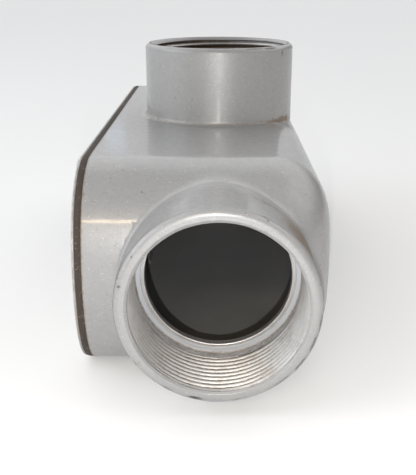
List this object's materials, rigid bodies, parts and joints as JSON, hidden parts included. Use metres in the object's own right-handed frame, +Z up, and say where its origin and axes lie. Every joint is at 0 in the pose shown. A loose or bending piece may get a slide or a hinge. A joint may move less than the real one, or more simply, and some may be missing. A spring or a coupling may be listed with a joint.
{
  "type": "tee conduit outlet body",
  "caption": "Cast tee-shaped conduit outlet body with threaded hubs front, rear and top, and a gasketed screw-on cover on its left side.",
  "frame": {"origin": "on the flat base, directly below the branch hub's axis", "axes": "+Z up along the branch hub, +Y along the run towards the rear hub, -X out of the cover"},
  "size_m": [0.1167, 0.348, 0.136],
  "materials": {
    "painted_casting": "light grey metallic acrylic paint over cast iron, satin, chipped to dark metal on the hub rims",
    "gasket_rubber": "dull brown-black neoprene with cut edges",
    "cover_sheet": "stamped sheet steel, light grey satin paint",
    "fastener_steel": "zinc-plated steel, semi-bright"
  },
  "bodies": {
    "casting": {"body_casting": "painted_casting"},
    "gasket": {"cover_gasket": "gasket_rubber"},
    "cover": {"cover_plate": "cover_sheet"},
    "washer_1": {"screw_washer_1": "fastener_steel"},
    "screw_1": {"cover_screw_1": "fastener_steel"},
    "washer_2": {"screw_washer_2": "fastener_steel"},
    "screw_2": {"cover_screw_2": "fastener_steel"},
    "washer_3": {"screw_washer_3": "fastener_steel"},
    "screw_3": {"cover_screw_3": "fastener_steel"},
    "washer_4": {"screw_washer_4": "fastener_steel"},
    "screw_4": {"cover_screw_4": "fastener_steel"},
    "washer_5": {"screw_washer_5": "fastener_steel"},
    "screw_5": {"cover_screw_5": "fastener_steel"},
    "washer_6": {"screw_washer_6": "fastener_steel"},
    "screw_6": {"cover_screw_6": "fastener_steel"}
  },
  "joints": [
    {"name": "gasket_lift", "type": "slide", "parent": "casting", "child": "gasket", "axis": [-1, 0, 0], "range_m": [0, 0.04]},
    {"name": "cover_lift", "type": "slide", "parent": "gasket", "child": "cover", "axis": [-1, 0, 0], "range_m": [0, 0.04]},
    {"name": "screw_1_travel", "type": "slide", "parent": "cover", "child": "washer_1", "axis": [-1, 0, 0], "range_m": [0, 0.0127]},
    {"name": "screw_1_turn", "type": "hinge", "parent": "washer_1", "child": "screw_1", "pos_m": [-0.0629, -0.097, 0.0865], "axis": [-1, 0, 0], "range_deg": [0, 3620]},
    {"name": "screw_2_travel", "type": "slide", "parent": "cover", "child": "washer_2", "axis": [-1, 0, 0], "range_m": [0, 0.0127]},
    {"name": "screw_2_turn", "type": "hinge", "parent": "washer_2", "child": "screw_2", "pos_m": [-0.0629, 0, 0.0865], "axis": [-1, 0, 0], "range_deg": [0, 3620]},
    {"name": "screw_3_travel", "type": "slide", "parent": "cover", "child": "washer_3", "axis": [-1, 0, 0], "range_m": [0, 0.0127]},
    {"name": "screw_3_turn", "type": "hinge", "parent": "washer_3", "child": "screw_3", "pos_m": [-0.0629, 0.097, 0.0865], "axis": [-1, 0, 0], "range_deg": [0, 3620]},
    {"name": "screw_4_travel", "type": "slide", "parent": "cover", "child": "washer_4", "axis": [-1, 0, 0], "range_m": [0, 0.0127]},
    {"name": "screw_4_turn", "type": "hinge", "parent": "washer_4", "child": "screw_4", "pos_m": [-0.0629, -0.097, 0.0095], "axis": [-1, 0, 0], "range_deg": [0, 3620]},
    {"name": "screw_5_travel", "type": "slide", "parent": "cover", "child": "washer_5", "axis": [-1, 0, 0], "range_m": [0, 0.0127]},
    {"name": "screw_5_turn", "type": "hinge", "parent": "washer_5", "child": "screw_5", "pos_m": [-0.0629, 0, 0.0095], "axis": [-1, 0, 0], "range_deg": [0, 3620]},
    {"name": "screw_6_travel", "type": "slide", "parent": "cover", "child": "washer_6", "axis": [-1, 0, 0], "range_m": [0, 0.0127]},
    {"name": "screw_6_turn", "type": "hinge", "parent": "washer_6", "child": "screw_6", "pos_m": [-0.0629, 0.097, 0.0095], "axis": [-1, 0, 0], "range_deg": [0, 3620]}
  ],
  "couplings": [
    {"joint": "screw_1_turn", "follows": "screw_1_travel", "rad_per_m": 4947.4},
    {"joint": "screw_2_turn", "follows": "screw_2_travel", "rad_per_m": 4947.4},
    {"joint": "screw_3_turn", "follows": "screw_3_travel", "rad_per_m": 4947.4},
    {"joint": "screw_4_turn", "follows": "screw_4_travel", "rad_per_m": 4947.4},
    {"joint": "screw_5_turn", "follows": "screw_5_travel", "rad_per_m": 4947.4},
    {"joint": "screw_6_turn", "follows": "screw_6_travel", "rad_per_m": 4947.4}
  ]
}
